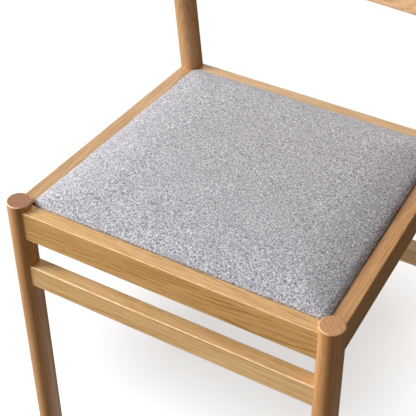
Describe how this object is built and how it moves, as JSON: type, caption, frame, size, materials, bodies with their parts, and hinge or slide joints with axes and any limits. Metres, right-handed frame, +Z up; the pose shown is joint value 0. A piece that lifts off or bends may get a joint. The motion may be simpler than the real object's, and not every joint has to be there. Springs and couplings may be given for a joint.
{
  "type": "wooden side chair",
  "caption": "Armless wooden dining chair with round legs, flat seat rails, a grey fabric drop-in seat, front and back stretchers and a curved back slat.",
  "frame": {"origin": "on the floor, below the centre of the chair's bounding box", "axes": "+Z up, the chair faces -Y, +X is to the right as seen from in front of the chair"},
  "size_m": [0.5346, 0.505, 0.7538],
  "materials": {
    "oak": "satin clear finish on honey-coloured oak",
    "block_wood": "unfinished sawn wood",
    "plywood": "unfinished plywood",
    "seat_fabric": "mottled light grey woven wool-like fabric",
    "foam": "open-cell foam",
    "lining": "thin black non-woven lining",
    "steel": "zinc-plated",
    "glide": "matt brown plastic"
  },
  "bodies": {
    "root": {"front_leg_left": "oak", "front_leg_right": "oak", "rear_leg_left": "oak", "rear_leg_right": "oak", "front_seat_rail": "oak", "back_seat_rail": "oak", "left_seat_rail": "oak", "right_seat_rail": "oak", "front_stretcher": "oak", "back_stretcher": "oak", "back_slat": "oak", "corner_block_front_left": "block_wood", "corner_block_front_right": "block_wood", "corner_block_back_left": "block_wood", "corner_block_back_right": "block_wood", "seat_board": "plywood", "seat_foam": "foam", "seat_cover": "seat_fabric", "seat_lining": "lining", "cover_staples": "steel", "block_screws": "steel", "seat_bolts": "steel", "seat_washers": "steel", "seat_tee_nuts": "steel", "glide_nails": "steel", "foot_glides": "glide"}
  },
  "joints": []
}
